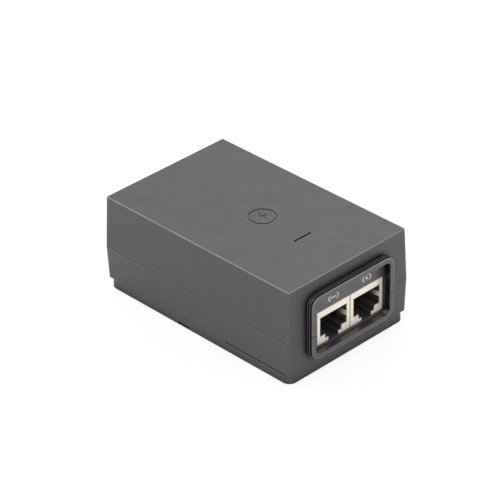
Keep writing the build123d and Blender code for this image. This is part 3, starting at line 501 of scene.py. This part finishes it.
def disc(x, radius, count=16):
    """Round dot at half height."""
    turns = [2 * math.pi * i / count for i in range(count)]
    return [(x + radius * math.cos(t), MARK_HEIGHT / 2 + radius * math.sin(t)) for t in turns]


def bolt(x):
    """Upright bolt sign, as high as the symbol."""
    tip, waist, notch, rise = (share * MARK_HEIGHT for share in (0.17, 0.33, 0.02, 0.09))
    half = MARK_HEIGHT / 2
    corners = [(tip, half), (-waist, -rise), (-notch, -rise), (-tip, -half), (waist, rise), (notch, rise)]
    return [(x + dx, half + dy) for dx, dy in corners]


def network_mark():
    """Three dots between angle brackets, the usual network symbol."""
    brackets = [chevron(-NETWORK_HALF_W, MARK_ARM), chevron(NETWORK_HALF_W, -MARK_ARM)]
    return brackets + [disc(x, DOT_RADIUS) for x in (-DOT_PITCH, 0.0, DOT_PITCH)]


def powered_network_mark():
    """Angle brackets with a bolt between them."""
    return [chevron(-POWERED_HALF_W, MARK_ARM), chevron(POWERED_HALF_W, -MARK_ARM), bolt(0.0)]


def printed_mark(name, outlines, centre_x, base_z, face_y, ink):
    """Thin closed print of some outlines on the jack panel, facing -Y."""
    grid = bmesh.new()
    for outline in outlines:
        places = [(centre_x + x * MM, base_z + z * MM) for x, z in outline]
        back = [grid.verts.new((x, face_y, z)) for x, z in places]
        front = [grid.verts.new((x, face_y - MARK_THICKNESS * MM, z)) for x, z in places]
        grid.faces.new(back)
        grid.faces.new(front[::-1])
        for i, corner in enumerate(back):
            grid.faces.new((corner, front[i], front[i - 1], back[i - 1]))
    bmesh.ops.recalc_face_normals(grid, faces=grid.faces)
    mesh = bpy.data.meshes.new(name)
    grid.to_mesh(mesh)
    grid.free()
    mesh.materials.append(ink)
    mark = bpy.data.objects.new(name, mesh)
    bpy.context.scene.collection.objects.link(mark)
    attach(mark, "housing")


def add_port_marks():
    """The symbols above the two jacks."""
    ink = mark_ink()
    panel_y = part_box("top_shell")[0].y + PANEL_BEHIND_LIP * MM
    marks = (("port_mark_lan", network_mark(), "lan_jack_shield"),
             ("port_mark_poe", powered_network_mark(), "poe_jack_shield"))
    for name, outlines, jack in marks:
        low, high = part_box(jack)
        middle = (low.x + high.x) / 2 - MARK_LEFT * MM
        printed_mark(name, outlines, middle, high.z + MARK_LIFT * MM, panel_y, ink)


# ---------------------------------------------------------------- studio
def add_floor():
    """Large pale floor under the bracket."""
    mesh = bpy.data.meshes.new("studio_floor")
    signs = ((-1, -1), (1, -1), (1, 1), (-1, 1))
    corners = [(x * FLOOR_HALF, y * FLOOR_HALF, -FLOOR_DROP * MM) for x, y in signs]
    mesh.from_pydata(corners, [], [(0, 1, 2, 3)])
    mesh.materials.append(floor_material())
    floor = bpy.data.objects.new("studio_floor", mesh)
    bpy.context.scene.collection.objects.link(floor)


def outward(azimuth, elevation):
    """Direction from the origin towards a place given by its angles in radians."""
    across = math.cos(elevation)
    return Vector((math.sin(azimuth) * across, -math.cos(azimuth) * across, math.sin(elevation)))


def add_light(name, azimuth, elevation, distance, size, power):
    """Square soft light aimed at the object."""
    data = bpy.data.lights.new(name, "AREA")
    data.shape = "SQUARE"
    data.size = size
    data.energy = power
    light = bpy.data.objects.new(name, data)
    direction = outward(math.radians(azimuth), math.radians(elevation))
    light.location = direction * distance
    light.rotation_euler = direction.to_track_quat("Z", "Y").to_euler()
    bpy.context.scene.collection.objects.link(light)


def add_studio_light():
    """Even surroundings, seen as white, with soft light from both back corners and from the front."""
    world = bpy.data.worlds.new("studio")
    world.use_nodes = True
    tree = world.node_tree
    background = tree.nodes["Background"]
    background.inputs["Color"].default_value = (1, 1, 1, 1)
    seen = tree.nodes.new("ShaderNodeLightPath").outputs["Is Camera Ray"]
    feed(tree, background.inputs["Strength"], spread(tree, seen, WORLD_LIGHT, 1.0, 0, 1))
    bpy.context.scene.world = world
    for box in SOFTBOXES:
        add_light(*box)


def add_camera():
    """Camera at the reference viewing angle."""
    azimuth, elevation, roll = map(math.radians, (CAMERA_AZIMUTH, CAMERA_ELEVATION, CAMERA_ROLL))
    back = outward(azimuth, elevation)
    level = Vector((math.cos(azimuth), math.sin(azimuth), 0))
    upright = back.cross(level)
    right = level * math.cos(roll) + upright * math.sin(roll)
    up = upright * math.cos(roll) - level * math.sin(roll)
    place = (right * CAMERA_SHIFT[0] + up * CAMERA_SHIFT[1] + back * CAMERA_DISTANCE) * MM
    data = bpy.data.cameras.new("camera")
    data.lens = CAMERA_LENS
    data.sensor_width = SENSOR
    data.clip_end = CAMERA_REACH
    camera = bpy.data.objects.new("camera", data)
    camera.matrix_world = Matrix.Translation(place) @ Matrix((right, up, back)).transposed().to_4x4()
    bpy.context.scene.collection.objects.link(camera)
    bpy.context.scene.camera = camera


dress_cad_nodes()
add_port_marks()
add_floor()
add_studio_light()
add_camera()
bpy.context.scene.view_settings.view_transform = "Standard"
